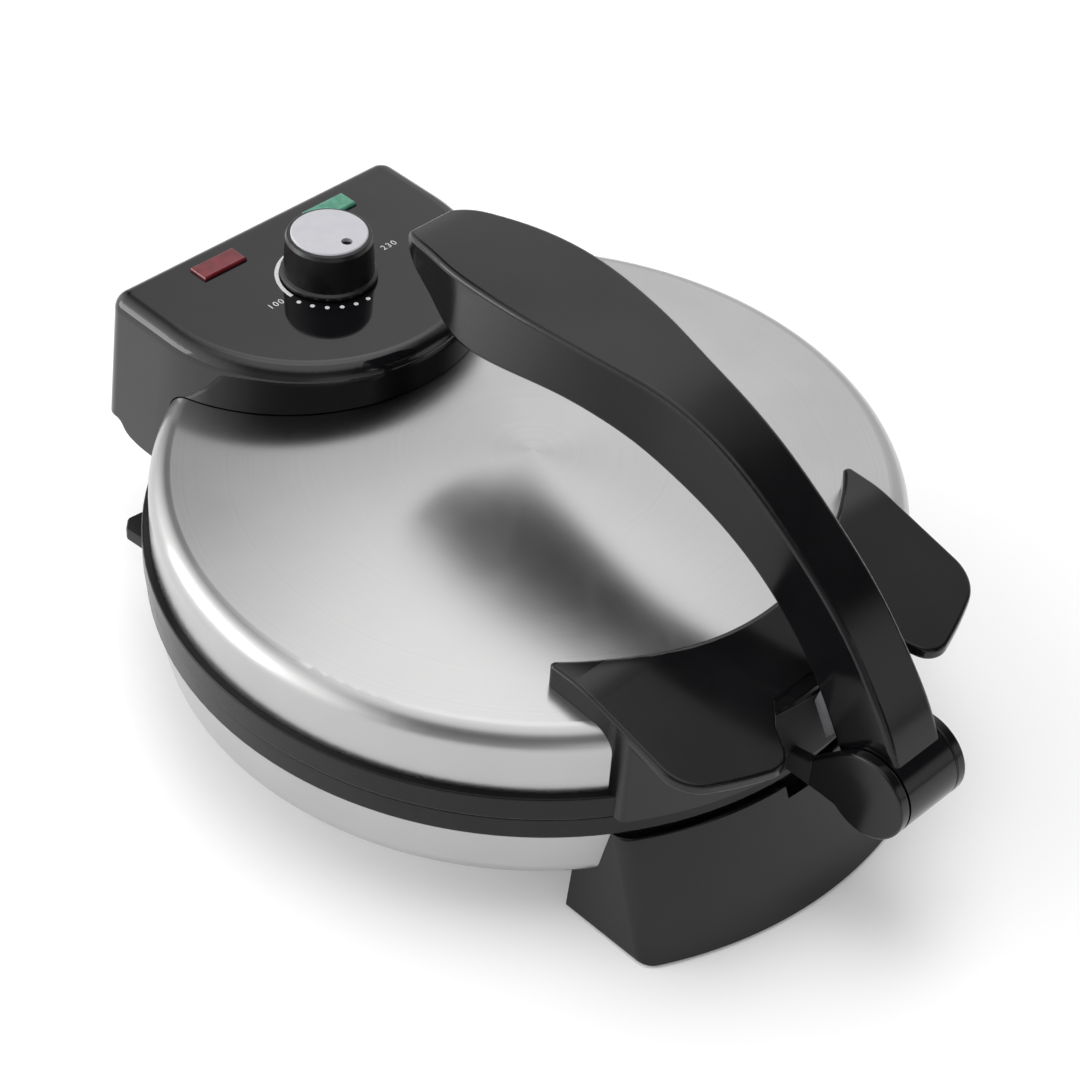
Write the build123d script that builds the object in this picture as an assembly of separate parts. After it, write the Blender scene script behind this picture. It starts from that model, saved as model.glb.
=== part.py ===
from build123d import *
import math
import os

# Electric flatbread (roti) maker: two round hot plates in steel shells, hinged at the back,
# with a control housing on the lid and an arched press lever pivoted on the lid's front bracket.
# Millimetres. +Z up, +X right, the user stands at -Y. The disc axis is x = 0, y = 0 while
# modelling; every piece is moved by shift_y at the end, so that the box of the whole is centred.

# driving dimensions -------------------------------------------------------------------------
seam_z = 58.4            # plane where the lid's ring meets the base's ring
skirt_r = 137.0          # steel lid skirt
shoulder_r = 9.0         # rounding between skirt and dome
shoulder_z = 85.3        # height where the shoulder rounding starts
dome_r = 1190.0          # spherical radius of the dome, tangent to the shoulder's rounding
sheet = 0.8              # steel sheet thickness
lid_ring_r = 139.9
base_ring_r = 139.0
ring_top_z = 68.7
ring_bottom_z = 49.0
seam_half = 0.3          # each ring stops this far from the seam
tab_reach_r = 146.3      # the lower ring's two side lugs reach this far out
tab_root_half = 10.0
tab_tip_half = 3.0
tab_bearings = (135, 45)
bowl_top_r = 136.4
bowl_low_r = 134.4
bowl_bend_z = 30.0
bowl_bottom_z = 24.0

plate_r = 128.2
plate_core_r = 121.5
plate_gap = 1.2          # each plate's face lies this far from the seam
plate_depth = 7.0
plate_rim = 0.7          # the cooking face stands this far proud of the rim
ledge_r = 122.0          # inner edge of the ring's ledge that the plate's rim lies on
lower_ledge_z = 52.8     # back of the ledge in the lower ring
upper_ledge_z = 64.0     # back of the ledge in the upper ring
ring_screw_r = 125.0
ring_screw_bearings = range(20, 380, 60)
element_r = 85.0
element_tube_r = 3.3
element_end_bearings = (-75, 255)
clamp_bearings = (30, 150, 210)

panel_z = 117.7          # top of the control housing
knob_y = 109.2
knob_top_z = 137.1
knob_r = 17.1
cap_r = 14.4
pointer_r = 2.1          # hole in the cap that points at the dial
pointer_offset = 8.8
housing_half = 68.5      # half width of the housing at the panel
housing_low_half = 73.0  # half width at the level low_z
housing_front = 53.5
housing_rear = 154.3
housing_low_rear = 156.0
housing_corner_r = 7.2
housing_rim_r = 7.0      # rounding between the panel and the walls
low_z = 54.0
wall = 2.5
lamp_xs = (-27.6, 27.6)
lamp_y = 139.8
lamp_long = 20.2
lamp_wide = 8.6
holder_top_z = panel_z - 4.2
thermostat_z = 99.4      # bottom of the thermostat's case, just above the dome

hinge_y = 147.0
hinge_z = seam_z
hinge_pin_r = 2.5
knuckle_r = 6.4
knuckle_half = 39.4      # half length of the lid's knuckle, between the two ears
ear_in = 40.0
ear_out = 48.0
clip_x = 49.0
bracket_half = 36.0      # half width of the lid's hinge bracket
leaf_z = 99.2            # top of the bracket's leaf on the dome
leaf_screw_xs = (-24, 24)
leaf_screw_y = 124.0
shaft_r = 3.0            # thermostat spindle
shaft_low_z = 104.2
shaft_top_z = knob_top_z - 4.0

hub_y = -174.0
hub_z = 71.0
hub_r = 16.3
hub_half = 12.0          # half width of the lever's hub
lug_in = 12.4
lug_out = 17.0
lever_pin_r = 3.0
running = 0.05           # radial clearance of every running fit

wing_half = 76.2
wing_inner_r = 110.8
wing_outer_r = 162.7
wing_thick = 5.0
bracket_wall_r = 143.0
bracket_low_z = 58.9
bracket_screw_places = [(-52, -110), (52, -110), (-20, -122), (20, -122)]

foot_half_low = 77.0
foot_half_top = 73.0
foot_back_y = -101.0
foot_low_r = 160.0
foot_top_r = 140.2
foot_top_z = 46.5
foot_wall = 3.0
sole_z = 1.5             # plastic feet stop here, the rubber goes on to the table
cover_low_z = 3.0        # under face of the covers that close the feet
cover_high_z = 5.5
front_boss_places = [(-48, -112), (48, -112)]
rear_boss_places = [(-30, 110), (30, 110)]
rubber_places = [(-58, -132), (58, -132), (-38, 139), (38, 139)]

rear_half = 50.0         # half width of the rear foot
rear_front_y = 98.0
rear_back_y = 151.0
rear_wall = 3.0
gland_y = 149.0
gland_z = 22.0
gland_r = 7.0
cord_r = 3.4

front_reach = hub_y - hub_r
shift_y = -(front_reach + housing_low_rear) / 2

# the lever's curves: (y, z) along its top and its underside, (y, half width) from above
lever_top = [
    (57, 170.5), (48, 173.4), (30, 175.8), (8, 177.5), (-15, 177.9), (-38, 177.0), (-58, 175.1),
    (-78, 171.3), (-98, 163.9), (-118, 152.4), (-138, 138.2), (-152, 125.8), (-164, 112.2),
    (-174, 98.8), (-180.5, 87.0), (-184, 79.5),
]
lever_low = [
    (57, 166), (50, 161.5), (38, 156.6), (28, 151.4), (18, 149.0), (4, 150.0), (-14, 152.6),
    (-30, 153.5), (-50, 151.0), (-72, 144.2), (-92, 137.0), (-110, 128.2), (-124, 118.2),
    (-136, 106.8), (-146, 94.2), (-155, 80.2), (-161, 71.0),
]
lever_half = [
    (57, 10.3), (50, 14.3), (40, 17.2), (28, 20.2), (10, 22.4), (-8, 22.4), (-26, 20.6), (-46, 17.4),
    (-62, 14.3), (-80, 12.3), (-100, 11.5), (-130, 11.2), (-156, 11.3), (-172, 11.6), (-188, 11.8),
]
lever_wall = 2.4
cover_thick = 2.8
cover_set_back = 0.8     # the cover lies this far inside the lever's lower edge
lever_screw_ys = (10.0, -36.0, -80.0)
pad_half = 9.5


# helpers ------------------------------------------------------------------------------------
def turned(points):
    """A solid of revolution about the disc axis, from (radius, height) points."""
    return revolve(Plane.XZ * make_face(Polyline(*points, close=True)), Axis.Z)


def rod(radius, z0, z1, x=0.0, y=0.0):
    return Pos(x, y, z0) * Cylinder(radius, z1 - z0, align=(Align.CENTER, Align.CENTER, Align.MIN))


def bar(x0, x1, y0, y1, z0, z1):
    return Pos((x0 + x1) / 2, (y0 + y1) / 2, (z0 + z1) / 2) * Box(x1 - x0, y1 - y0, z1 - z0)


def cross_rod(radius, x0, x1, y, z):
    """A cylinder along X."""
    return Pos((x0 + x1) / 2, y, z) * Rot(0, 90, 0) * Cylinder(radius, x1 - x0)


def long_rod(radius, y0, y1, z):
    """A cylinder along Y in the middle plane."""
    return Pos(0, (y0 + y1) / 2, z) * Rot(90, 0, 0) * Cylinder(radius, y1 - y0)


def corner_edges(shape, keep):
    """The shape's upright edges whose middle point satisfies keep."""
    return shape.edges().filter_by(Axis.Z).filter_by(lambda edge: keep(edge.center()))


def circle_edges(shape, radii):
    """The edges that run once round the disc axis at one of the given radii."""
    def wanted(edge):
        return any(abs(edge.radius - r) < 0.01 for r in radii)

    return shape.edges().filter_by(GeomType.CIRCLE).filter_by(wanted)


def side_slab(face_lines, x0, x1):
    """Extrude a closed outline, drawn as (y, z), along X from x0 to x1."""
    face = Plane.YZ * make_face(face_lines)
    return Pos(x0, 0, 0) * extrude(face, x1 - x0, dir=(1, 0, 0))


def polar(radius, degrees):
    return radius * math.cos(math.radians(degrees)), radius * math.sin(math.radians(degrees))


def mirrored(shape):
    return mirror(shape, Plane.YZ)


def group(shapes):
    solids = []
    for shape in shapes:
        solids.extend(shape.solids())
    return Compound(solids)


def screw(x, y, z_head, z_tip, shaft_r, head_r, head_h):
    """A pan-head screw along Z. z_tip may be above or below the head."""
    step = 1 if z_tip > z_head else -1
    shaft = rod(shaft_r, min(z_head, z_tip), max(z_head, z_tip), x, y)
    head = rod(head_r, min(z_head - step * head_h, z_head), max(z_head - step * head_h, z_head), x, y)
    cross = bar(x - head_r * 0.6, x + head_r * 0.6, y - 0.4, y + 0.4, -0.5, 0.5)
    cross += bar(x - 0.4, x + 0.4, y - head_r * 0.6, y + head_r * 0.6, -0.5, 0.5)
    return shaft + head - Pos(0, 0, z_head - step * head_h) * cross


# envelopes that other pieces are cut to -----------------------------------------------------
def dome_outline(grow):
    """Outer face of the lid's steel shell, grown outwards, from the ring up to the dome's top."""
    side_x = skirt_r - shoulder_r
    foot_z = upper_ledge_z - 2
    small = shoulder_r + grow
    large = dome_r + grow
    tilt = math.asin(side_x / (dome_r - shoulder_r))
    middle = (math.pi / 2 - tilt) / 2
    centre_z = shoulder_z - (dome_r - shoulder_r) * math.cos(tilt)
    edge = (side_x + small * math.sin(tilt), shoulder_z + small * math.cos(tilt))
    half = (large * math.sin(tilt / 2), centre_z + large * math.cos(tilt / 2))
    top = (0, centre_z + large)
    return [
        Line((0, foot_z), (skirt_r + grow, foot_z)),
        Line((skirt_r + grow, foot_z), (skirt_r + grow, shoulder_z)),
        ThreePointArc(
            (skirt_r + grow, shoulder_z),
            (side_x + small * math.cos(middle), shoulder_z + small * math.sin(middle)),
            edge,
        ),
        ThreePointArc(edge, half, top),
        Line(top, (0, foot_z)),
    ]


def lid_envelope(grow=0.0):
    return revolve(Plane.XZ * make_face(dome_outline(grow)), Axis.Z)


def bowl_envelope(grow=0.0):
    bend = bowl_bend_z - bowl_bottom_z
    low = bowl_bottom_z - grow
    mid = math.sqrt(0.5) * bend
    return revolve(
        Plane.XZ
        * make_face(
            [
                Line((0, low), (bowl_low_r - bend, low)),
                ThreePointArc(
                    (bowl_low_r - bend, low),
                    (bowl_low_r - bend + mid + grow * 0.7, bowl_bend_z - mid - grow * 0.7),
                    (bowl_low_r + grow, bowl_bend_z),
                ),
                Line((bowl_low_r + grow, bowl_bend_z), (bowl_top_r + grow, 53.5)),
                Line((bowl_top_r + grow, 53.5), (0, 53.5)),
                Line((0, 53.5), (0, low)),
            ]
        ),
        Axis.Z,
    )


# base ---------------------------------------------------------------------------------------
def base_shell():
    shell = bowl_envelope(0.0) - Pos(0, 0, 0.01) * bowl_envelope(-sheet)
    for x, y in front_boss_places + rear_boss_places:
        shell -= rod(2.0, 20, 30, x, y)
    return shell


def ring_screw_holes(z0, z1):
    return group([rod(1.5, z0, z1, *polar(ring_screw_r, a)) for a in ring_screw_bearings])


def side_tab(bearing):
    """A lug on the lower ring, just behind the middle of each side."""
    outline = Polyline(
        (134.5, -tab_root_half), (138.0, -tab_root_half), (tab_reach_r, -tab_tip_half),
        (tab_reach_r, tab_tip_half), (138.0, tab_root_half), (134.5, tab_root_half), close=True,
    )
    tab = Pos(0, 0, 52.6) * extrude(Plane.XY * make_face(outline), 5.4)
    tab = fillet(tab.edges().filter_by(Axis.Z).group_by(Axis.X)[-1], 2.2)
    rim = tab.faces().sort_by(Axis.Z)[-1].edges() + tab.faces().sort_by(Axis.Z)[0].edges()
    tab = fillet(rim.filter_by(lambda edge: edge.center().X > tab_reach_r - 8), 0.9)
    return Rot(0, 0, bearing) * tab


def lower_ring():
    """The ring round the lower plate: its skirt hangs over the bowl, its ledge bears the plate."""
    skirt_in = base_ring_r - 2.1
    top = seam_z - seam_half
    ring = turned(
        [
            (base_ring_r, ring_bottom_z), (base_ring_r, top), (plate_r + 0.5, top),
            (plate_r + 0.5, lower_ledge_z + 2.4), (ledge_r, lower_ledge_z + 2.4),
            (ledge_r, lower_ledge_z), (135.2, lower_ledge_z), (135.2, lower_ledge_z + 1),
            (skirt_in, lower_ledge_z + 1), (skirt_in, ring_bottom_z),
        ]
    )
    ring = fillet(circle_edges(ring, [base_ring_r]), 0.7)
    for bearing in tab_bearings:
        ring += side_tab(bearing) - rod(skirt_in, 40, 60)
    return ring - ring_screw_holes(lower_ledge_z - 2, seam_z)


def lower_plate():
    face = seam_z - plate_gap
    plate = turned(
        [
            (0, face), (118, face), (121, face + plate_rim), (plate_r, face + plate_rim),
            (plate_r, lower_ledge_z + 2.6), (plate_core_r, lower_ledge_z + 2.6),
            (plate_core_r, face - plate_depth), (0, face - plate_depth),
        ]
    )
    return plate - ring_screw_holes(lower_ledge_z, lower_ledge_z + 4.2)


def heating_element(z, legs_down):
    """A tubular element bent into an open ring, with its two cold ends turned away."""
    start, end = element_end_bearings
    section = Plane.XZ * Pos(element_r, z) * Circle(element_tube_r)
    loop = Rot(0, 0, start) * revolve(section, Axis.Z, end - start)
    away = -1 if legs_down else 1
    for bearing in element_end_bearings:
        x, y = polar(element_r, bearing)
        for radius, reach in ((element_tube_r, 9.0), (1.2, 14.4)):
            tip = z + away * reach
            loop += rod(radius, min(z, tip), max(z, tip), x, y)
    return loop


def element_clamps(plate_back, element_z):
    """Three sheet bridges that hold the element against the back of its plate."""
    away = 1 if element_z > plate_back else -1
    outer = sorted((plate_back, element_z + away * (element_tube_r + 1.2)))
    inner = sorted((plate_back, element_z + away * element_tube_r))
    bridge = bar(element_r - 6.4, element_r + 6.4, -4, 4, *outer)
    bridge -= bar(element_r - 3.6, element_r + 3.6, -5, 5, *inner)
    return group([Rot(0, 0, bearing) * bridge for bearing in clamp_bearings])


def reflector(rim_z, floor_z):
    """A pan of bright sheet behind the element, flanged where it meets the ring's ledge."""
    t = 0.6 if floor_z > rim_z else -0.6
    pan = turned(
        [
            (0, floor_z), (123.6, floor_z), (128.2, rim_z), (134.4, rim_z), (134.4, rim_z + t),
            (128.8, rim_z + t), (124.2, floor_z + t), (0, floor_z + t),
        ]
    )
    for bearing in element_end_bearings:
        pan -= rod(2.0, floor_z - 3, floor_z + 3, *polar(element_r, bearing))
    return pan


def ring_screws(head_z, tip_z):
    """Screws from behind the ring's ledge into the rim of the plate."""
    places = [polar(ring_screw_r, bearing) for bearing in ring_screw_bearings]
    return group([screw(x, y, head_z, tip_z, 1.5, 2.5, 1.8) for x, y in places])


def foot_side(half, inset, z):
    """The foot's sides and back at height z, open far out in front."""
    half -= inset
    back = foot_back_y - inset
    return Plane.XY.offset(z) * make_face(
        Polyline((-half, back), (half, back), (half, -220), (-half, -220), close=True)
    )


def foot_block(inset):
    """The front foot's outer form: a cone's front cut by two drafted sides and a flat back."""
    cone = Cone(
        foot_low_r - inset, foot_top_r - inset, foot_top_z,
        align=(Align.CENTER, Align.CENTER, Align.MIN),
    )
    sides = loft([foot_side(foot_half_low, inset, 0), foot_side(foot_half_top, inset, foot_top_z)])
    return cone & sides & bar(-200, 200, -300, 0, 0, foot_top_z - inset)


def screw_boss(x, y):
    """A boss that rises from a foot to the bottom of the bowl, for a screw driven from below."""
    return rod(5.0, 6.5, bowl_bottom_z - 0.1, x, y)


def screw_bore(x, y):
    """The bore for the screw's shaft and the wider well for its head."""
    return rod(2.05, 3, 30, x, y) + rod(4.0, 3, 18, x, y)


def front_foot():
    """The moulded front bracket that carries the bowl and stands on the table."""
    outer = foot_block(0.0)
    corners = outer.edges().filter_by(lambda e: e.center().Y < -115 and abs(e.center().X) > 70)
    corners = corners.filter_by(lambda e: abs(e.tangent_at(0.5).Z) > 0.7)
    outer = fillet(corners, 7.0) & bar(-200, 200, -300, 0, sole_z, foot_top_z)
    outer = fillet(outer.faces().sort_by(Axis.Z)[-1].edges(), 1.2)
    foot = outer - bowl_envelope(0.1) - (foot_block(foot_wall) - bowl_envelope(foot_wall))
    # a step in the middle of the top edge leaves room for the lever's hub
    foot -= bar(-12.5, 12.5, -160, -120, foot_top_z - 5, foot_top_z + 1)
    for x, y in front_boss_places:
        foot += screw_boss(x, y)
        foot -= screw_bore(x, y)
    return foot


def front_foot_cover():
    """The plate that closes the front foot from below."""
    cover = foot_block(foot_wall + 0.2) & bar(-200, 200, -300, 0, cover_low_z, cover_high_z)
    for x, y in front_boss_places:
        cover -= rod(4.0, 0, 10, x, y)
    return cover


def rear_block(inset, z0, z1, corner):
    """A box with two rounded rear corners: the rear foot's form, its hollow and its cover."""
    block = bar(
        -rear_half + inset, rear_half - inset, rear_front_y + inset, rear_back_y - inset, z0, z1
    )
    return fillet(block.edges().filter_by(Axis.Z).group_by(Axis.Y)[-1], corner)


def rear_foot():
    """The rear bracket: it stands on the table and carries the hinge pin in two ears."""
    hollow = rear_block(rear_wall, 0, 42, 5.0) - bowl_envelope(foot_wall)
    body = rear_block(0.0, sole_z, 45, 8.0)
    body = fillet(body.faces().sort_by(Axis.Z)[-1].edges(), 1.2)
    body = body - bowl_envelope(0.1) - hollow
    for x0, x1 in ((-ear_out, -ear_in), (ear_in, ear_out)):
        body += cross_rod(knuckle_r, x0, x1, hinge_y, hinge_z)
        body += bar(x0, x1, hinge_y - 5, hinge_y + 4, 44, hinge_z)
    body -= cross_rod(hinge_pin_r, -clip_x, clip_x, hinge_y, hinge_z)
    for x, y in rear_boss_places:
        body += screw_boss(x, y)
        body -= screw_bore(x, y)
    return body - long_rod(gland_r, gland_y - 5, gland_y + 5, gland_z)


def rear_foot_cover():
    cover = rear_block(rear_wall + 0.2, cover_low_z, cover_high_z, 4.8)
    for x, y in rear_boss_places:
        cover -= rod(4.0, 0, 10, x, y)
    return cover


def rubber_feet():
    return group([rod(7.0, 0, cover_low_z, x, y) for x, y in rubber_places])


def foot_screws():
    """Screws from inside each foot up into the bottom of the bowl."""
    places = front_boss_places + rear_boss_places
    return group([screw(x, y, 18, 29, 2.0, 3.8, 2.4) for x, y in places])


def cord_gland():
    """A bush in the rear wall where the supply cord would pass."""
    bush = long_rod(gland_r, gland_y - 5, gland_y + 5, gland_z)
    collar = long_rod(9.5, rear_back_y, rear_back_y + 2.4, gland_z)
    collar = fillet(collar.faces().sort_by(Axis.Y)[-1].edges(), 0.9)
    nut = long_rod(9.5, gland_y - 4.5, rear_back_y - rear_wall, gland_z)
    return bush + collar + nut - long_rod(cord_r, gland_y - 15, gland_y + 15, gland_z)


def terminal_block():
    """A three-way block on the floor of the bowl, each way with two sunk screws."""
    block = bar(-18, 18, 62, 76, 26.0, 34)
    for x in (-12, 0, 12):
        for y in (65.5, 72.5):
            block -= rod(2.2, 31, 36, x, y)
            block += rod(2.0, 31, 32, x, y)
    return block + bar(-22, 22, 66, 72, bowl_bottom_z + sheet + 0.05, 26.0)


def thermal_fuse():
    """A cut-out clipped on the back of the lower plate."""
    plate_back = seam_z - plate_gap - plate_depth
    can = rod(8.0, plate_back - 7, plate_back, 30, -20)
    return can + bar(28, 32, -32, -8, plate_back - 8, plate_back - 7)


def hinge_pin():
    pin = cross_rod(hinge_pin_r, -clip_x - 1.5, clip_x + 1.5, hinge_y, hinge_z)
    for x in (-clip_x, clip_x):
        groove = cross_rod(hinge_pin_r + 1, x - 0.4, x + 0.4, hinge_y, hinge_z)
        pin -= groove - cross_rod(hinge_pin_r - 0.6, x - 1, x + 1, hinge_y, hinge_z)
    return pin


def hinge_clips():
    """Retaining clips in the grooves at both ends of the hinge pin."""
    clips = []
    for x in (-clip_x, clip_x):
        clip = cross_rod(4.6, x - 0.4, x + 0.4, hinge_y, hinge_z)
        clip -= cross_rod(hinge_pin_r - 0.6, x - 1, x + 1, hinge_y, hinge_z)
        clip -= bar(x - 1, x + 1, hinge_y - 1.2, hinge_y + 1.2, hinge_z - 6, hinge_z)
        clips.append(clip)
    return group(clips)


# lid ----------------------------------------------------------------------------------------
def lid_shell():
    section = make_face(dome_outline(0.0)) - Pos(0, -0.01) * make_face(dome_outline(-sheet))
    shell = revolve(Plane.XZ * section, Axis.Z)
    shell -= rod(5.0, 90, 100, 0, knob_y)
    for x in leaf_screw_xs:
        shell -= rod(2.05, 90, 100, x, leaf_screw_y)
    for x, y in bracket_screw_places:
        shell -= rod(1.6, 90, 96, x, y)
    return shell


def upper_ring():
    """The lid's ring: its skirt wraps the steel, its ledge bears the upper plate."""
    skirt_in = skirt_r + 0.1
    low = seam_z + seam_half
    ring = turned(
        [
            (lid_ring_r, low), (lid_ring_r, ring_top_z), (skirt_in, ring_top_z),
            (skirt_in, upper_ledge_z - 2.1), (135.9, upper_ledge_z - 2.1),
            (135.9, upper_ledge_z), (ledge_r, upper_ledge_z), (ledge_r, upper_ledge_z - 2.4),
            (plate_r + 0.5, upper_ledge_z - 2.4), (plate_r + 0.5, low),
        ]
    )
    ring = fillet(circle_edges(ring, [lid_ring_r]), 0.8)
    return ring - ring_screw_holes(upper_ledge_z - 3, upper_ledge_z + 1)


def upper_plate():
    face = seam_z + plate_gap
    plate = turned(
        [
            (0, face), (118, face), (121, face - plate_rim), (plate_r, face - plate_rim),
            (plate_r, upper_ledge_z - 2.6), (plate_core_r, upper_ledge_z - 2.6),
            (plate_core_r, face + plate_depth), (0, face + plate_depth),
        ]
    )
    return plate - ring_screw_holes(upper_ledge_z - 4.2, upper_ledge_z)


def d_face(half, rear_y, front_y, z):
    """The housing's plan: a straight back and sides, and a half-round front."""
    centre_y = front_y + half
    return Plane.XY.offset(z) * make_face(
        [
            Line((half, centre_y), (half, rear_y)),
            Line((half, rear_y), (-half, rear_y)),
            Line((-half, rear_y), (-half, centre_y)),
            ThreePointArc((-half, centre_y), (0, front_y), (half, centre_y)),
        ]
    )


def housing_form(inset):
    """The housing as a solid block, with every face moved inwards by inset."""
    front = housing_front + inset
    low = d_face(housing_low_half - inset, housing_low_rear - inset, front, low_z)
    high = d_face(housing_half - inset, housing_rear - inset, front, panel_z - inset)
    form = loft([low, high])
    corners = form.edges().filter_by(lambda e: e.center().Y > 148 and abs(e.center().X) > 60)
    form = fillet(corners, housing_corner_r - inset)
    return fillet(form.faces().sort_by(Axis.Z)[-1].edges(), housing_rim_r - inset)


def housing_skirt_cut():
    """What is cut from below: the sides sweep down in an S from the rear towards the ring."""
    outline = [
        Line((40, 20), (180, 20)),
        Line((180, 20), (180, 64)),
        Line((180, 64), (148, 64)),
        Spline((148, 64), (142.5, 60.6), (137, 58.6), (131, 58.0), tangents=[(-1, 0), (-1, 0)]),
        Line((131, 58.0), (40, 58.0)),
        Line((40, 58.0), (40, 20)),
    ]
    return side_slab(outline, -100, 100)


def control_housing():
    shell = housing_form(0) - housing_form(wall)
    shell -= housing_skirt_cut()
    shell -= rod(lid_ring_r + 0.4, 0, ring_top_z + 0.4)
    shell -= lid_envelope(0.35)
    shell -= rod(3.8, 110, 120, 0, knob_y)
    for x in lamp_xs:
        shell -= lamp_window(x, 0.0, 110, 120)
    # slots in the rear wall let it swing past the ears of the rear foot
    for x0, x1 in ((-ear_out - 3.5, -ear_in + 1.5), (ear_in - 1.5, ear_out + 3.5)):
        shell -= bar(x0, x1, 150, 160, 60, 69)
    return shell


def lamp_window(x, grow, z0, z1):
    return bar(
        x - lamp_long / 2 - grow, x + lamp_long / 2 + grow,
        lamp_y - lamp_wide / 2 - grow, lamp_y + lamp_wide / 2 + grow, z0, z1,
    )


def lamp_lens(x):
    lens = lamp_window(x, 0.0, panel_z - 3.0, panel_z + 1.4)
    lens = fillet(lens.faces().sort_by(Axis.Z)[-1].edges(), 0.9)
    return lens + lamp_window(x, 1.2, holder_top_z, panel_z - wall)


def lamp_holders():
    """Neon lamps in their holders, one under each lens."""
    holders = []
    for x in lamp_xs:
        holder = bar(x - 9, x + 9, lamp_y - 5, lamp_y + 5, holder_top_z - 8.8, holder_top_z)
        holder += cross_rod(2.6, x - 14, x + 14, lamp_y, holder_top_z - 4.8)
        holders.append(holder)
    return group(holders)


def housing_floor():
    """The plate that closes the housing behind the lid."""
    floor = housing_form(wall + 0.15) & bar(-100, 100, 100, 200, 70.6, 72.6)
    floor -= lid_envelope(0.4)
    floor -= rod(lid_ring_r + 0.4, 0, ring_top_z + 0.4)
    floor -= bar(-bracket_half - 0.3, bracket_half + 0.3, 137, hinge_y - 1.8, 60, 80)
    return floor


def thermostat_body():
    """The thermostat's case, its threaded neck and its two terminals."""
    top = thermostat_z + 10.6
    body = bar(-17, 17, knob_y - 14, knob_y + 14, thermostat_z, top)
    body += rod(6.0, top, panel_z - wall, 0, knob_y)
    body += bar(-21, 21, knob_y - 4, knob_y + 4, thermostat_z + 1.6, thermostat_z + 2.8)
    return body - rod(shaft_r + running, shaft_low_z - 0.2, 120, 0, knob_y)


def lid_hinge_bracket():
    """Steel bracket under the housing: a leaf on the dome, a web behind it and the knuckle."""
    web_back = hinge_y - 2.0
    bracket = bar(-bracket_half, bracket_half, 112, web_back, leaf_z - 1.2, leaf_z)
    bracket += bar(-bracket_half, bracket_half, web_back - 1.2, web_back, hinge_z + 3, leaf_z)
    bracket += bar(-bracket_half, bracket_half, 140.6, web_back, hinge_z + 0.6, 66)
    bracket += cross_rod(knuckle_r, -knuckle_half, knuckle_half, hinge_y, hinge_z)
    for x in leaf_screw_xs:
        bracket += rod(5.0, 94.5, leaf_z - 1.2, x, leaf_screw_y) - lid_envelope(0.02)
        bracket -= rod(2.05, 90, 101, x, leaf_screw_y)
    return bracket - cross_rod(hinge_pin_r + running, -60, 60, hinge_y, hinge_z)


def hinge_bracket_screws():
    """Screws that hold the hinge bracket on the lid's shell, with their nuts inside."""
    screws = []
    for x in leaf_screw_xs:
        screws.append(screw(x, leaf_screw_y, leaf_z, 90.5, 2.0, 3.8, 2.2))
        nut = Pos(x, leaf_screw_y, 91.2) * extrude(RegularPolygon(4.0, 6), 1.8)
        screws.append(nut - rod(2.0, 88, 101, x, leaf_screw_y))
    return group(screws)


# front bracket of the lid -------------------------------------------------------------------
def wing_top_lines(drop):
    """The wings' upper face seen from the side, lowered by drop, then closed far below."""
    return [
        Line((-60, 104.9 - drop), (-94, 104.5 - drop)),
        ThreePointArc((-94, 104.5 - drop), (-99.5, 103.9 - drop), (-105, 102.6 - drop)),
        Line((-105, 102.6 - drop), (-180, 83.4 - drop)),
        Line((-180, 83.4 - drop), (-180, 30)),
        Line((-180, 30), (-60, 30)),
        Line((-60, 30), (-60, 104.9 - drop)),
    ]


def below_wing_top(drop):
    return side_slab(wing_top_lines(drop), -120, 120)


def annulus(r0, r1):
    return rod(r1, 20, 130) - rod(r0, 10, 140)


def wing_plan():
    """Both wings seen from above: an arc in front, a hollow arc behind, rounded front corners."""
    plan = annulus(wing_inner_r, wing_outer_r) & bar(-wing_half, wing_half, -200, -60, 20, 130)
    plan = fillet(corner_edges(plan, lambda middle: middle.Y < -130), 16.0)
    return fillet(corner_edges(plan, lambda middle: middle.Y > -95), 2.0)


def wing_slot():
    """The gap between the wings, wider in front, that the lever's root stands in."""
    right = [(24, -138), (31, -145), (35, -153), (39.5, -164), (39.5, -180)]
    left = [(-x, y) for x, y in reversed(right)]
    outline = Plane.XY * make_face(Polyline(*right, *left, close=True))
    return Pos(0, 0, 20) * extrude(outline, 120)


def lug_lines():
    """A lug seen from the side: it grows out of the wall and ends round the lever's pin."""
    lug_crest = (hub_y + hub_r * math.sin(math.pi / 4), hub_z + hub_r * math.cos(math.pi / 4))
    return [
        Line((-140, bracket_low_z), (-157, bracket_low_z)),
        Line((-157, bracket_low_z), (-163.5, hub_z - 12.5)),
        ThreePointArc(
            (-163.5, hub_z - 12.5), (hub_y - hub_r, hub_z), lug_crest
        ),
        Line(lug_crest, (-149.5, 69.5)),
        Line((-149.5, 69.5), (-140, 67.5)),
        Line((-140, 67.5), (-140, bracket_low_z)),
    ]


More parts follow.
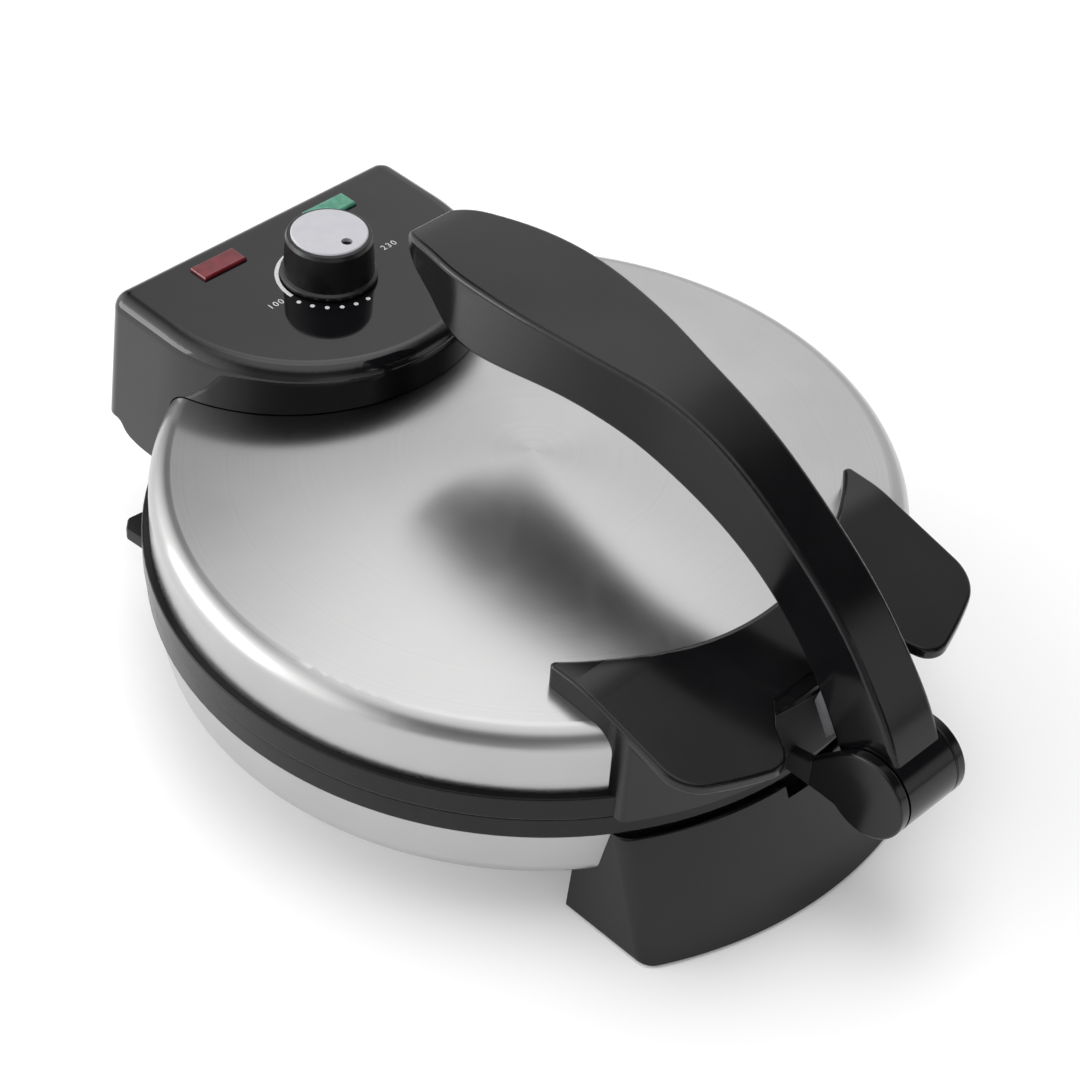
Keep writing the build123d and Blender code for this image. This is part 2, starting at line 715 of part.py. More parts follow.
def front_bracket():
    """The moulded piece on the lid's front: two lifting wings, a wall over the ring, two lugs."""
    plan = wing_plan()
    wings = plan - wing_slot()
    wings = fillet(corner_edges(wings, lambda m: m.Y < -150 and abs(m.X) < 45), 9.0)
    wings = (wings & below_wing_top(0)) - below_wing_top(wing_thick)
    wings = fillet(wings.edges().filter_by(lambda e: abs(e.tangent_at(0.5).Z) < 0.9), 1.5)
    skirt = plan & annulus(100, bracket_wall_r) & below_wing_top(1)
    skirt &= bar(-200, 200, -200, 0, bracket_low_z, 110)
    skirt = fillet(corner_edges(skirt, lambda m: m.Y < -115 and abs(m.X) > 74), 2.5)
    hollow = annulus(wing_inner_r + 3, bracket_wall_r - 3)
    hollow &= bar(-wing_half + 3, wing_half - 3, -200, 0, 20, 130)
    hollow &= below_wing_top(wing_thick)
    hollow -= bar(-28, 28, -200, -132, 0, 200)
    bracket = wings + (skirt - hollow)
    bracket -= bar(-24, 24, -200, -141.2, 92, 120)
    lug = side_slab(lug_lines(), lug_in, lug_out)
    lug = fillet(lug.edges().filter_by(lambda e: abs(e.tangent_at(0.5).X) < 0.1), 1.0)
    bracket += lug + mirrored(lug)
    bracket -= rod(lid_ring_r + 0.1, 0, ring_top_z + 0.1)
    bracket -= lid_envelope(0.1)
    bracket -= cross_rod(lever_pin_r, -15.4, 20, hub_y, hub_z)
    for x, y in bracket_screw_places:
        bracket += (rod(4.5, 80, 99, x, y) & below_wing_top(1)) - lid_envelope(0.1)
        bracket -= rod(1.6, 80, 97, x, y)
    return bracket


def front_bracket_screws():
    """Screws from inside the dome up into the bosses of the front bracket."""
    return group([screw(x, y, 93.4, 96.6, 1.6, 3.2, 1.6) for x, y in bracket_screw_places])


def lever_pin():
    return cross_rod(lever_pin_r, -15.3, 16.2, hub_y, hub_z)


# lever --------------------------------------------------------------------------------------
def lever_side(raise_low=0.0, lower_top=0.0):
    """The lever's side outline in the plane of Y and Z, closed inside the hub."""
    top = [(y, z - lower_top) for y, z in lever_top]
    low = [(y, z + raise_low) for y, z in lever_low]
    return [Spline(*top), Line(top[-1], low[-1]), Spline(*reversed(low)), Line(low[0], top[0])]


def lever_plan(inset):
    """The lever from above: narrow at the hub, broad at the grip, rounded at the tip."""
    right = [(half - inset, y) for y, half in lever_half]
    left = [(-x, y) for x, y in right]
    outline = [
        Spline(*right),
        Line(right[-1], left[-1]),
        Spline(*reversed(left)),
        ThreePointArc(left[0], (0, lever_half[0][0] + 1.5 - inset), right[0]),
    ]
    return Pos(0, 0, 40) * extrude(Plane.XY * make_face(outline), 160)


def lever_body():
    body = side_slab(lever_side(), -40, 40) & lever_plan(0.0)
    return fillet(body.edges(), 2.0)


def lever_hub():
    return cross_rod(hub_r, -hub_half, hub_half, hub_y, hub_z)


def low_height(y):
    """Height of the lever's underside at y."""
    for (y0, z0), (y1, z1) in zip(lever_low, lever_low[1:]):
        if y1 <= y <= y0:
            return z0 + (z1 - z0) * (y0 - y) / (y0 - y1)


def above_cover(gap):
    """Everything from just over the cover's upper face to above the lever."""
    return side_slab(lever_side(cover_set_back + cover_thick + gap, -20.0), -40, 40)


def lever_hollow():
    """The inside of the lever, less the bosses that the cover is screwed to."""
    hollow = side_slab(lever_side(-12.0, 2.6), -40, 40) & lever_plan(lever_wall)
    hollow &= bar(-60, 60, -147, 52.5, 60, 200)
    for y in lever_screw_ys:
        hollow -= rod(4.0, 100, 200, 0, y) & above_cover(0.1)
    return hollow


def lever_arm():
    """The lever's top shell, in one piece with the hub and the bosses for the cover's screws."""
    arm = lever_body() - lever_hollow() + lever_hub()
    for y in lever_screw_ys:
        arm -= rod(1.4, low_height(y) - 5, low_height(y) + 12.2, 0, y)
    return arm - cross_rod(lever_pin_r + running, -30, 30, hub_y, hub_z)


def lever_cover():
    """The lower shell that closes the lever from below, with sunk holes for its screws."""
    cover = side_slab(lever_side(cover_set_back, 2.6), -40, 40) & lever_plan(lever_wall + 0.1)
    cover = (cover - above_cover(0.0)) & bar(-60, 60, -146.8, 52.3, 60, 200)
    for y in lever_screw_ys:
        cover -= rod(1.4, low_height(y) - 5, low_height(y) + 12, 0, y)
        cover -= rod(2.7, low_height(y) - 5, low_height(y) + 2.4, 0, y)
    return cover


def lever_screws():
    """Screws up through the lever's cover into the bosses of the top shell."""
    screws = []
    for y in lever_screw_ys:
        head_z = low_height(y) + 2.4
        screws.append(screw(0, y, head_z, head_z + 9.0, 1.4, 2.6, 1.6))
    return group(screws)


def rest_bumper():
    """The pad under the lever's root that stands against the wall of the front bracket."""
    outline = [
        Line((-143.5, 88.4), (-145.6, 97.0)),
        Line((-145.6, 97.0), (-156.0, 84.6)),
        Line((-156.0, 84.6), (-150.6, 76.2)),
        Line((-150.6, 76.2), (-143.5, 88.4)),
    ]
    return side_slab(outline, -pad_half, pad_half) - lever_body() - lever_hub()


# knob ---------------------------------------------------------------------------------------
def knob():
    base_z = panel_z + 0.6
    top = knob_top_z - 0.7
    body = turned(
        [
            (0, base_z + 5), (8, base_z + 5), (8, base_z), (knob_r + 1.2, base_z),
            (knob_r + 1.2, base_z + 1.6), (knob_r, base_z + 2.4), (knob_r - 0.7, top - 1.6),
            (knob_r - 1.4, top), (cap_r + 0.1, top), (cap_r + 0.1, top - 0.9), (0, top - 0.9),
        ]
    )
    body = fillet(circle_edges(body, [knob_r - 1.4]), 0.5)
    body = fillet(circle_edges(body, [knob_r + 1.2]), 0.5)
    return Pos(0, knob_y, 0) * body - rod(shaft_r, 100, shaft_top_z, 0, knob_y)


def knob_disc():
    """The pale cap on the knob, with the hole near its edge that points at the dial."""
    cap = turned(
        [
            (0, knob_top_z - 1.6), (cap_r, knob_top_z - 1.6), (cap_r, knob_top_z - 0.4),
            (cap_r - 0.4, knob_top_z), (0, knob_top_z),
        ]
    )
    pointer = rod(pointer_r, 130, 140, 0.7, knob_y - pointer_offset)
    return Pos(0, knob_y, 0) * cap - pointer


def thermostat_shaft():
    return rod(shaft_r, shaft_low_z, shaft_top_z, 0, knob_y)


# every piece, by node name ------------------------------------------------------------------
lower_back = seam_z - plate_gap - plate_depth
upper_back = seam_z + plate_gap + plate_depth

pieces = {
    "base_shell": base_shell(),
    "lower_ring": lower_ring(),
    "lower_plate": lower_plate(),
    "lower_element": heating_element(lower_back - element_tube_r, True),
    "lower_element_clamps": element_clamps(lower_back, lower_back - element_tube_r),
    "lower_reflector": reflector(lower_ledge_z, 36.6),
    "lower_plate_screws": ring_screws(lower_ledge_z, 56.6),
    "front_foot": front_foot(),
    "front_foot_cover": front_foot_cover(),
    "rear_foot": rear_foot(),
    "rear_foot_cover": rear_foot_cover(),
    "rubber_feet": rubber_feet(),
    "foot_screws": foot_screws(),
    "cord_gland": cord_gland(),
    "terminal_block": terminal_block(),
    "thermal_fuse": thermal_fuse(),
    "hinge_pin": hinge_pin(),
    "hinge_clips": hinge_clips(),
    "lid_shell": lid_shell(),
    "upper_ring": upper_ring(),
    "upper_plate": upper_plate(),
    "upper_element": heating_element(upper_back + element_tube_r, False),
    "upper_element_clamps": element_clamps(upper_back, upper_back + element_tube_r),
    "upper_reflector": reflector(upper_ledge_z, 82.0),
    "upper_plate_screws": ring_screws(upper_ledge_z, 60.2),
    "control_housing": control_housing(),
    "housing_floor": housing_floor(),
    "red_lamp_lens": lamp_lens(lamp_xs[0]),
    "green_lamp_lens": lamp_lens(lamp_xs[1]),
    "lamp_holders": lamp_holders(),
    "thermostat_body": thermostat_body(),
    "lid_hinge_bracket": lid_hinge_bracket(),
    "hinge_bracket_screws": hinge_bracket_screws(),
    "front_bracket": front_bracket(),
    "front_bracket_screws": front_bracket_screws(),
    "lever_pin": lever_pin(),
    "lever_arm": lever_arm(),
    "lever_cover": lever_cover(),
    "lever_screws": lever_screws(),
    "rest_bumper": rest_bumper(),
    "knob": knob(),
    "knob_disc": knob_disc(),
    "thermostat_shaft": thermostat_shaft(),
}

os.makedirs("parts", exist_ok=True)
for name, piece in pieces.items():
    export_step(Pos(0, shift_y, 0) * piece, f"parts/{name}.step")
    print(name, len(piece.solids()), round(piece.volume))
print("shift_y", shift_y)
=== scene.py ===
import bmesh
import bpy
import math
from mathutils import Matrix, Vector


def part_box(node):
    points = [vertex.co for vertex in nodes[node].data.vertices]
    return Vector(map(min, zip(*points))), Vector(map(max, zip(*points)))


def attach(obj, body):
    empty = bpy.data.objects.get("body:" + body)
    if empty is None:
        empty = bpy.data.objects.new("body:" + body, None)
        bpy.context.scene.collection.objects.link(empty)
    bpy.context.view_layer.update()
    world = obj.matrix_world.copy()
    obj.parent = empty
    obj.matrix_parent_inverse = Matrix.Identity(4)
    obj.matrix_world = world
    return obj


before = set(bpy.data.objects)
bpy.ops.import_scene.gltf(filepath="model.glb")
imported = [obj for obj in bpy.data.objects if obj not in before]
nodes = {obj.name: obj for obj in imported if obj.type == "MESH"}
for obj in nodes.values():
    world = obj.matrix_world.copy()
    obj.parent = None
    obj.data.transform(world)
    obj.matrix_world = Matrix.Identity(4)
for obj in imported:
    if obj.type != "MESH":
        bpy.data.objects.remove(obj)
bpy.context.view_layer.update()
mm = 0.001

shellLow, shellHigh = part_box("lid_shell")
discY = (shellLow.y + shellHigh.y) / 2  # the plates' common axis stands at x = 0, y = discY


def direction(azimuth, elevation):
    # azimuth 0 is the front of the maker, 90 its right side
    a, e = math.radians(azimuth), math.radians(elevation)
    return Vector((math.sin(a) * math.cos(e), -math.cos(a) * math.cos(e), math.sin(e)))


productCamera = {
    "azimuth": -48.05,
    "elevation": 41.72,
    "roll": 4.48,
    "lens": 94.63,
    "sensor": 36,
    "distance": 1.0352,
    "slideRight": 0.00425,
    "slideUp": -0.00891,
    "aimHeight": 0.070,
}


def makeCamera(setup):
    back = direction(setup["azimuth"], setup["elevation"])
    level = direction(setup["azimuth"] + 90, 0)
    upright = back.cross(level)
    roll = math.radians(setup["roll"])
    right = level * math.cos(roll) + upright * math.sin(roll)
    up = upright * math.cos(roll) - level * math.sin(roll)
    data = bpy.data.cameras.new("productCamera")
    data.sensor_width = setup["sensor"]
    data.lens = setup["lens"]
    data.clip_end = 20
    camera = bpy.data.objects.new("productCamera", data)
    bpy.context.scene.collection.objects.link(camera)
    aim = Vector((0, discY, setup["aimHeight"]))
    place = aim + right * setup["slideRight"] + up * setup["slideUp"] + back * setup["distance"]
    turn = Matrix((right, up, back)).transposed().to_4x4()
    camera.matrix_world = Matrix.Translation(place) @ turn
    bpy.context.scene.camera = camera


makeCamera(productCamera)
print("camera is set")


def linear(hexText):
    values = [int(hexText[i:i + 2], 16) / 255 for i in (0, 2, 4)]
    return [v / 12.92 if v <= 0.04045 else ((v + 0.055) / 1.055) ** 2.4 for v in values] + [1.0]


def addNode(tree, kind, settings=None, inputs=None, links=None):
    node = tree.nodes.new(kind)
    for key, value in (settings or {}).items():
        setattr(node, key, value)
    for key, value in (inputs or {}).items():
        node.inputs[key].default_value = value
    for key, socket in (links or {}).items():
        tree.links.new(socket, node.inputs[key])
    return node


def newMaterial(name, finish):
    material = bpy.data.materials.new(name)
    material.use_nodes = True
    tree = material.node_tree
    shader = tree.nodes["Principled BSDF"]
    for key, value in finish.items():
        shader.inputs[key].default_value = linear(value) if isinstance(value, str) else value
    return material, tree, shader


def show(tree, shader, patches, span=(0.35, 0.65), tints=None, gloss=None, relief=None):
    # patches tint the surface, change its roughness, and raise it by a strength and a depth in mm
    if tints:
        share = addNode(tree, "ShaderNodeMapRange", inputs={"From Min": span[0], "From Max": span[1]},
                        links={"Value": patches})
        colour = addNode(tree, "ShaderNodeMix", {"data_type": "RGBA"}, {
            6: linear(tints[0]), 7: linear(tints[1]),
        }, {0: share.outputs["Result"]})
        tree.links.new(colour.outputs[2], shader.inputs["Base Color"])
    if gloss:
        rough = addNode(tree, "ShaderNodeMapRange", inputs={
            "From Min": span[0], "From Max": span[1], "To Min": gloss[0], "To Max": gloss[1],
        }, links={"Value": patches})
        tree.links.new(rough.outputs["Result"], shader.inputs["Roughness"])
    if relief:
        raised = addNode(tree, "ShaderNodeBump", inputs={
            "Strength": relief[0], "Distance": relief[1] * mm,
        }, links={"Height": patches})
        tree.links.new(raised.outputs["Normal"], shader.inputs["Normal"])


def dress(tree, shader, sizeMm, detail=2.0, fine=0.5, along=None, **looks):
    # the patches are about sizeMm across, and lie in the piece's own space unless told otherwise
    along = along or addNode(tree, "ShaderNodeTexCoord").outputs["Object"]
    patches = addNode(tree, "ShaderNodeTexNoise", inputs={
        "Scale": 1 / (sizeMm * mm), "Detail": detail, "Roughness": fine,
    }, links={"Vector": along}).outputs["Fac"]
    show(tree, shader, patches, **looks)
    return patches


def discPlace(tree):
    # radius and height about the plates' axis, and the way outwards, of the point being shaded
    place = addNode(tree, "ShaderNodeTexCoord").outputs["Object"]
    centred = addNode(tree, "ShaderNodeMapping", inputs={"Location": (0, -discY, 0)},
                      links={"Vector": place})
    split = addNode(tree, "ShaderNodeSeparateXYZ", links={"Vector": centred.outputs["Vector"]})
    flat = addNode(tree, "ShaderNodeCombineXYZ",
                   links={"X": split.outputs["X"], "Y": split.outputs["Y"]})
    radius = addNode(tree, "ShaderNodeVectorMath", {"operation": "LENGTH"},
                     links={0: flat.outputs["Vector"]})
    outward = addNode(tree, "ShaderNodeVectorMath", {"operation": "NORMALIZE"},
                      links={0: flat.outputs["Vector"]})
    along = addNode(tree, "ShaderNodeCombineXYZ",
                    links={"X": radius.outputs["Value"], "Y": split.outputs["Z"]})
    return along.outputs["Vector"], outward.outputs["Vector"]


def insideBox(tree, box):
    # one inside the box, whose bounds are given in mm for each axis, and nought 1 mm outside it
    place = addNode(tree, "ShaderNodeTexCoord").outputs["Object"]
    split = addNode(tree, "ShaderNodeSeparateXYZ", links={"Vector": place})
    inside = None
    for axis, (low, high) in box.items():
        for outer, inner in ((low - 1, low), (high + 1, high)):
            past = addNode(tree, "ShaderNodeMapRange", inputs={
                "From Min": outer * mm, "From Max": inner * mm,
            }, links={"Value": split.outputs[axis]}).outputs["Result"]
            if inside is not None:
                past = addNode(tree, "ShaderNodeMath", {"operation": "MULTIPLY"},
                               links={0: inside, 1: past}).outputs[0]
            inside = past
    return inside


def spunStainless():
    # 0.8 mm sheet, drawn and spun, then satin polished round the axis
    material, tree, shader = newMaterial("spunStainless", {"Metallic": 1.0, "Anisotropic": 0.72})
    along, outward = discPlace(tree)
    brush = dress(tree, shader, 0.5, 3.0, 0.6, along, relief=(0.012, 0.02))
    haze = dress(tree, shader, 40, 3.0)
    both = addNode(tree, "ShaderNodeMix", {"data_type": "FLOAT"}, {0: 0.6}, {2: brush, 3: haze})
    show(tree, shader, both.outputs[0], tints=("b2b1b1", "bab9b9"), gloss=(0.22, 0.26))
    # the polishing lines run round, so what the steel mirrors is blurred outwards
    tree.links.new(outward, shader.inputs["Tangent"])
    return material


def glossAbs():
    # moulded against a polished tool, so only a slow waviness and faint haze break its mirror
    material, tree, shader = newMaterial("glossAbs", {"IOR": 1.54})
    dress(tree, shader, 22, 3.0, tints=("0d0d0f", "121214"), gloss=(0.05, 0.09))
    dress(tree, shader, 16, 0.0, relief=(0.04, 0.05))
    return material


def satinAbs(name="satinAbs", recess=None):
    # moulded against a fine spark-eroded tool, which leaves a soft sheen
    material, tree, shader = newMaterial(name, {"IOR": 1.43})
    dress(tree, shader, 28, 3.0, tints=("0c0c0e", "111113"), gloss=(0.12, 0.18))
    dress(tree, shader, 0.45, 1.0, relief=(0.06, 0.02))
    if recess:
        # the hollow between the lugs was never polished
        polished = shader.inputs["Roughness"].links[0].from_socket
        dulled = addNode(tree, "ShaderNodeMix", {"data_type": "FLOAT"}, {3: recess["roughness"]},
                         {0: insideBox(tree, recess["box"]), 2: polished})
        tree.links.new(dulled.outputs[0], shader.inputs["Roughness"])
    return material


def matteAbs():
    # the knob's fine grain keeps fingers from slipping
    material, tree, shader = newMaterial("matteAbs", {"IOR": 1.50})
    dress(tree, shader, 12, 3.0, tints=("0d0d0f", "131315"), gloss=(0.26, 0.34))
    dress(tree, shader, 0.4, 1.0, relief=(0.08, 0.02))
    return material


def heatProofPbt():
    # moulded with glass fibre in it, so its skin is duller than the arms
    material, tree, shader = newMaterial("heatProofPbt", {"IOR": 1.32})
    dress(tree, shader, 18, 3.0, tints=("101012", "161618"), gloss=(0.24, 0.30))
    dress(tree, shader, 0.6, 2.0, relief=(0.12, 0.03))
    return material


def nonStickCoat():
    # two-coat fluoropolymer sprayed on cast aluminium, with pale flecks in it
    material, tree, shader = newMaterial("nonStickCoat", {"IOR": 1.38})
    fleck = dress(tree, shader, 0.9, 3.0, 0.7, relief=(0.12, 0.03))
    show(tree, shader, fleck, (0.52, 0.72), tints=("232324", "3c3c3d"))
    dress(tree, shader, 35, 3.0, gloss=(0.30, 0.42))
    return material


def aluminisedSheet():
    # rolled steel dipped in aluminium, bright with soft clouds
    material, tree, shader = newMaterial("aluminisedSheet", {"Metallic": 1.0})
    dress(tree, shader, 9, 4.0, tints=("bcbdbe", "d0d1d1"), gloss=(0.28, 0.45))
    return material


def heaterSheath():
    # drawn nickel-chrome tube, oxidised grey-brown by its own heat
    material, tree, shader = newMaterial("heaterSheath", {"Metallic": 1.0})
    dress(tree, shader, 5, 4.0, tints=("3d3934", "625c54"), gloss=(0.45, 0.62))
    return material


def zincPlate():
    # steel turned or pressed, then plated, so its shine is even and faintly clouded
    material, tree, shader = newMaterial("zincPlate", {"Metallic": 1.0})
    dress(tree, shader, 3, 3.0, tints=("b3b5b6", "bfc1c1"), gloss=(0.30, 0.36))
    return material


def nitrileRubber():
    # moulded and matte, with dust in its grain
    material, tree, shader = newMaterial("nitrileRubber", {"IOR": 1.52, "Roughness": 0.75})
    dress(tree, shader, 6, 4.0, tints=("181818", "222222"))
    dress(tree, shader, 0.5, 3.0, relief=(0.30, 0.05))
    return material


def greySilicone():
    # moulded soft, so it has a dull skin and no sharp glints
    material, tree, shader = newMaterial("greySilicone", {"IOR": 1.42, "Roughness": 0.55})
    dress(tree, shader, 4, 3.0, tints=("66666a", "727275"))
    dress(tree, shader, 0.7, 2.0, relief=(0.20, 0.03))
    return material


def steatite():
    # pressed and fired ceramic, cream with a faint grain
    material, tree, shader = newMaterial("steatite", {"IOR": 1.56, "Roughness": 0.45})
    dress(tree, shader, 2, 3.0, tints=("dcd6c8", "eeeae0"))
    dress(tree, shader, 0.4, 2.0, relief=(0.10, 0.02))
    return material


def tintedPolycarbonate(name, dark, light):
    # moulded smooth and coloured right through, and dark while its lamp is off
    material, tree, shader = newMaterial(name, {"IOR": 1.58, "Roughness": 0.10})
    dress(tree, shader, 3, 1.0, tints=(dark, light))
    return material


def lacqueredPolystyrene():
    # sprayed with a pale satin lacquer, which leaves a fine mist of grain
    material, tree, shader = newMaterial("lacqueredPolystyrene", {"IOR": 1.50, "Roughness": 0.35})
    dress(tree, shader, 5, 2.0, tints=("babac0", "bfbfc3"))
    dress(tree, shader, 0.3, 1.0, relief=(0.08, 0.02))
    return material


def padInk():
    # printed with a silicone pad, so its cover is slightly uneven
    material, tree, shader = newMaterial("padInk", {"IOR": 1.50, "Roughness": 0.50})
    dress(tree, shader, 0.6, 2.0, tints=("cccccc", "e0e0e0"))
    return material


bracketRecess = {  # bounds in mm
    "box": {"X": (-25.5, 25.5), "Y": (-134, -105), "Z": (50, 89.5)},
    "roughness": 0.65,
}
finishes = {
    "lid_shell base_shell": spunStainless(),
    "lower_ring upper_ring": heatProofPbt(),
    "lower_plate upper_plate": nonStickCoat(),
    "lower_element upper_element": heaterSheath(),
    "lower_reflector upper_reflector lower_element_clamps upper_element_clamps": aluminisedSheet(),
    "lower_plate_screws upper_plate_screws foot_screws lever_screws lever_pin hinge_pin hinge_clips "
    "front_bracket_screws hinge_bracket_screws lid_hinge_bracket thermal_fuse thermostat_body "
    "thermostat_shaft": zincPlate(),
    "front_foot front_foot_cover rear_foot rear_foot_cover cord_gland housing_floor lever_arm "
    "lever_cover": satinAbs(),
    "front_bracket": satinAbs("bracketAbs", bracketRecess),
    "control_housing": glossAbs(),
    "knob": matteAbs(),
    "rubber_feet": nitrileRubber(),
    "rest_bumper": greySilicone(),
    "terminal_block lamp_holders": steatite(),
    "red_lamp_lens": tintedPolycarbonate("redPolycarbonate", "60121a", "711e27"),
    "green_lamp_lens": tintedPolycarbonate("greenPolycarbonate", "3c8268", "4f947c"),
    "knob_disc": lacqueredPolystyrene(),
}
dressed = set()
for names, material in finishes.items():
    for name in names.split():
        nodes[name].data.materials.clear()
        nodes[name].data.materials.append(material)
        dressed.add(name)
print("carried-over nodes dressed:", len(dressed), "left bare:", sorted(set(nodes) - dressed))


def pieceFrom(shape, name, material, body):
    mesh = bpy.data.meshes.new(name)
    bmesh.ops.recalc_face_normals(shape, faces=shape.faces)
    shape.to_mesh(mesh)
    shape.free()
    piece = bpy.data.objects.new(name, mesh)
    bpy.context.scene.collection.objects.link(piece)
    mesh.materials.append(material)
    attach(piece, body)
    return piece


dialMarks = {
    "radius": 20.8,  # mm from the knob's axis
    "ink": 0.06,  # how thick the print stands on the panel
    "arcRadius": 19.5,
    "arcFrom": 98.0,  # degrees round the knob, 0 to the right and 90 to the rear
    "arcTo": 184.0,
    "arcWidth": 1.5,
    "arcSteps": 40,
    "dotFrom": 196.0,
    "dotStep": 15.2,
    "dots": 6,
    "dotRadius": 0.9,
    "dotSides": 20,
    "numberSize": 4.0,
    "numberSpacing": 1.25,
    "numberCurveSteps": 6,
    "lowNumber": ("100", -27.2, -1.3),  # words, and mm right of and behind the knob's axis
    "highNumber": ("230", 29.2, -1.3),
}


def makeDialMarks(setup):
    knobLow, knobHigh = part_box("knob")
    centre = Vector(((knobLow.x + knobHigh.x) / 2, (knobLow.y + knobHigh.y) / 2, 0))
    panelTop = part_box("control_housing")[1].z
    ink = setup["ink"] * mm
    radius = setup["radius"] * mm
    shape = bmesh.new()

    def raisePrint(faces):
        # the print is pulled up from the panel into a thin closed layer
        flat = bmesh.ops.extrude_face_region(shape, geom=faces)
        top = [part for part in flat["geom"] if isinstance(part, bmesh.types.BMVert)]
        bmesh.ops.translate(shape, verts=top, vec=(0, 0, ink))

    arcRadius = setup["arcRadius"] * mm
    half = setup["arcWidth"] * mm / 2
    start = math.radians(setup["arcFrom"])
    sweep = math.radians(setup["arcTo"] - setup["arcFrom"])
    ends = [shape.verts.new((math.cos(start) * r, math.sin(start) * r, 0))
            for r in (arcRadius - half, arcRadius + half)]
    edge = shape.edges.new(ends)
    bmesh.ops.spin(shape, geom=[edge] + ends, cent=(0, 0, 0), axis=(0, 0, 1),
                   angle=sweep, steps=setup["arcSteps"])
    raisePrint(list(shape.faces))
    for count in range(setup["dots"]):
        a = math.radians(setup["dotFrom"] + setup["dotStep"] * count)
        spot = Matrix.Translation((math.cos(a) * radius, math.sin(a) * radius, 0))
        made = bmesh.ops.create_circle(shape, cap_ends=True, segments=setup["dotSides"],
                                       radius=setup["dotRadius"] * mm, matrix=spot)
        raisePrint(list({face for vert in made["verts"] for face in vert.link_faces}))
    bmesh.ops.translate(shape, verts=shape.verts, vec=centre + Vector((0, 0, panelTop)))
    pieceFrom(shape, "dial_scale", inkOnDial, "lid")

    for name, key in (("dial_low_number", "lowNumber"), ("dial_high_number", "highNumber")):
        words, right, behind = setup[key]
        curve = bpy.data.curves.new(name, "FONT")
        curve.body = words
        curve.size = setup["numberSize"] * mm
        curve.space_character = setup["numberSpacing"]
        curve.align_x = "CENTER"
        curve.align_y = "CENTER"
        curve.extrude = ink / 2
        curve.resolution_u = setup["numberCurveSteps"]
        letters = bpy.data.objects.new(name + "_letters", curve)
        bpy.context.scene.collection.objects.link(letters)
        bpy.context.view_layer.update()
        evaluated = letters.evaluated_get(bpy.context.evaluated_depsgraph_get())
        mesh = bpy.data.meshes.new_from_object(evaluated)
        bpy.data.objects.remove(letters)
        digits = bmesh.new()
        digits.from_mesh(mesh)
        bmesh.ops.remove_doubles(digits, verts=digits.verts, dist=0.000001)
        bmesh.ops.translate(digits, verts=digits.verts, vec=centre + Vector(
            (right * mm, behind * mm, panelTop + ink / 2)))
        pieceFrom(digits, name, inkOnDial, "lid")


inkOnDial = padInk()
makeDialMarks(dialMarks)
print("dial is printed")


studio = {
    "floorSize": 6,
    "floorColour": "f2f2f2",
    "floorRoughness": 0.9,
    "floorGlow": 0.18,  # seen by the camera and in reflections only
    "room": 0.37,
    "darkest": 0.03,
    # azimuth, elevation, inner and outer half angle of each soft patch of light, and its level,
    # which is below nought where the room is darker
    "patches": [
        (-134, 4, 20, 66, 1.50),
        (-132, 10, 6, 28, 1.00),
        (138, 62, 8, 24, 0.88),
        (130, 40, 8, 26, 0.34),
        (142, 48, 4, 14, 0.20),
        (156, 37, 6, 22, -0.28),
        (112, 18, 22, 50, 0.38),
        (-40, 87, 14, 38, 0.95),
        (30, 26, 24, 56, -0.33),
        (-55, 49, 8, 30, -0.17),
        (-18, 0, 8, 30, 0.40),
        (36, 14, 4, 17, 0.75),
        (5, 27, 2, 9, 1.20),
    ],
}


def whereSeen(tree, level):
    # the level for rays from the camera, off glossy surfaces and through clear ones, else nought
    path = addNode(tree, "ShaderNodeLightPath")
    straight = addNode(tree, "ShaderNodeMath", {"operation": "MAXIMUM"}, links={
        0: path.outputs["Is Camera Ray"], 1: path.outputs["Is Glossy Ray"]})
    either = addNode(tree, "ShaderNodeMath", {"operation": "MAXIMUM"}, links={
        0: straight.outputs[0], 1: path.outputs["Is Transmission Ray"]})
    return addNode(tree, "ShaderNodeMath", {"operation": "MULTIPLY"}, {1: level},
                   {0: either.outputs[0]}).outputs[0]


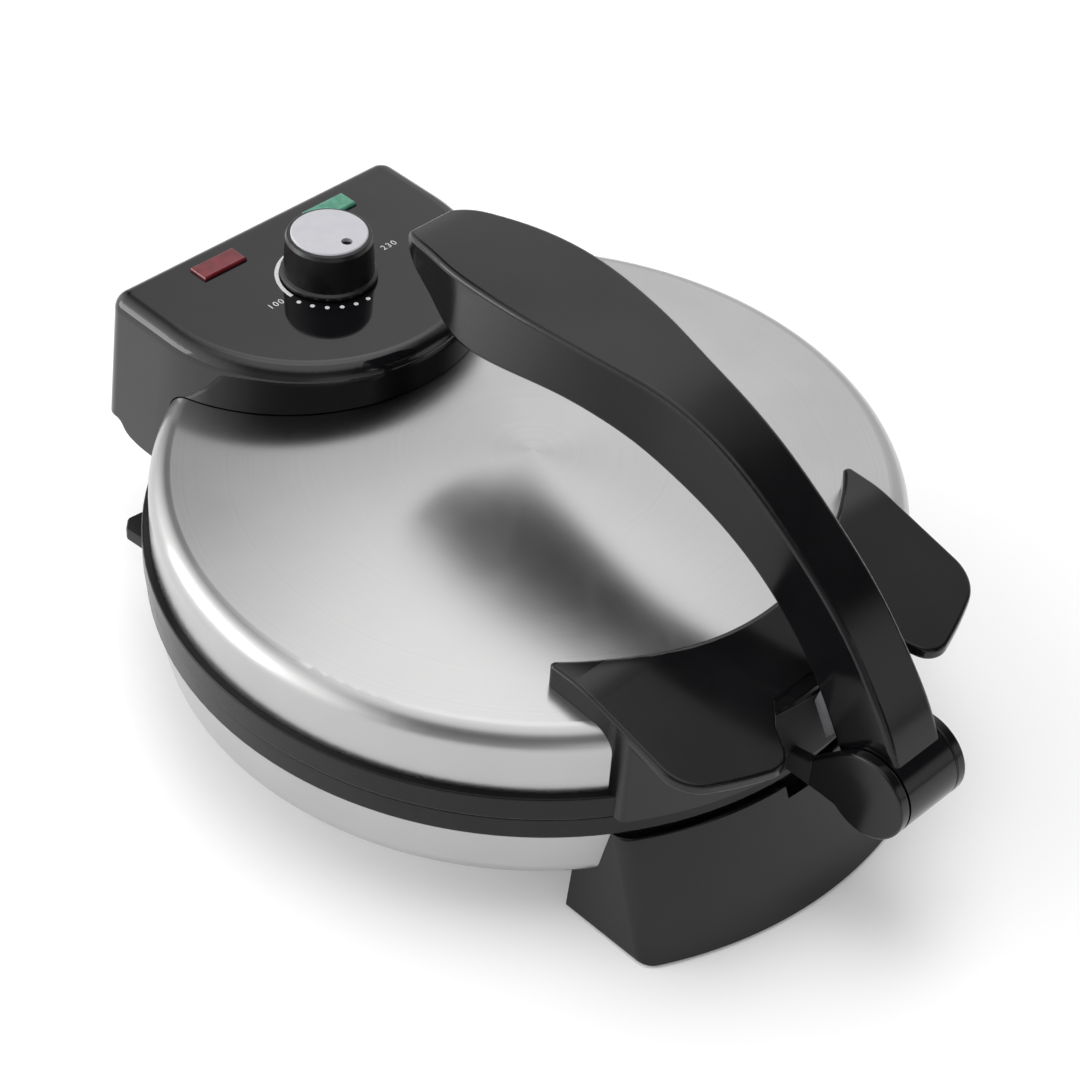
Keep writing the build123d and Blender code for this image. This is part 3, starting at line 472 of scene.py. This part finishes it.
def makeStudio(setup):
    shape = bmesh.new()
    bmesh.ops.create_grid(shape, x_segments=1, y_segments=1, size=setup["floorSize"])
    mesh = bpy.data.meshes.new("floor")
    shape.to_mesh(mesh)
    shape.free()
    floor = bpy.data.objects.new("floor", mesh)
    bpy.context.scene.collection.objects.link(floor)
    material, tree, shader = newMaterial("palePaper", {
        "Base Color": setup["floorColour"], "Roughness": setup["floorRoughness"],
        "Emission Color": "ffffff"})
    tree.links.new(whereSeen(tree, setup["floorGlow"]), shader.inputs["Emission Strength"])
    mesh.materials.append(material)

    world = bpy.data.worlds.new("studio")
    bpy.context.scene.world = world
    world.use_nodes = True
    tree = world.node_tree
    toward = addNode(tree, "ShaderNodeTexCoord").outputs["Generated"]
    level = None
    for azimuth, elevation, inner, outer, strength in setup["patches"]:
        facing = addNode(tree, "ShaderNodeVectorMath", {"operation": "DOT_PRODUCT"},
                         {1: direction(azimuth, elevation)}, {0: toward})
        patch = addNode(tree, "ShaderNodeMapRange", {"interpolation_type": "SMOOTHSTEP"}, {
            "From Min": math.cos(math.radians(outer)), "From Max": math.cos(math.radians(inner)),
            "To Min": 0.0, "To Max": strength,
        }, {"Value": facing.outputs["Value"]})
        total = addNode(tree, "ShaderNodeMath", {"operation": "ADD"}, {1: setup["room"]},
                        {0: patch.outputs["Result"]})
        if level is not None:
            tree.links.new(level, total.inputs[1])
        level = total.outputs[0]
    lit = addNode(tree, "ShaderNodeMath", {"operation": "MAXIMUM"}, {1: setup["darkest"]},
                  {0: level})
    path = addNode(tree, "ShaderNodeLightPath")
    seen = addNode(tree, "ShaderNodeMix", {"data_type": "FLOAT"}, {3: 1.0},
                   {0: path.outputs["Is Camera Ray"], 2: lit.outputs[0]})
    background = tree.nodes["Background"]
    background.inputs["Color"].default_value = (1, 1, 1, 1)
    tree.links.new(seen.outputs[0], background.inputs["Strength"])
    bpy.context.scene.view_settings.view_transform = "Standard"


softboxes = {
    "leftSoftbox": {"azimuth": -134, "elevation": 12, "away": 1.2, "width": 0.85, "height": 0.45,
                    "watts": 3.0, "mirrored": True},
    "overheadSoftbox": {"azimuth": -40, "elevation": 84, "away": 1.1, "width": 0.6, "height": 0.6,
                        "watts": 3.2, "mirrored": False},
}


def makeSoftbox(name, setup):
    back = direction(setup["azimuth"], setup["elevation"])
    data = bpy.data.lights.new(name, "AREA")
    data.shape = "RECTANGLE"
    data.size = setup["width"]
    data.size_y = setup["height"]
    data.energy = setup["watts"]
    lamp = bpy.data.objects.new(name, data)
    lamp.location = Vector((0, discY, 0.07)) + back * setup["away"]
    lamp.rotation_euler = back.to_track_quat("Z", "Y").to_euler()
    lamp.visible_glossy = setup["mirrored"]
    bpy.context.scene.collection.objects.link(lamp)


makeStudio(studio)
for name, setup in softboxes.items():
    makeSoftbox(name, setup)
print("studio is lit")
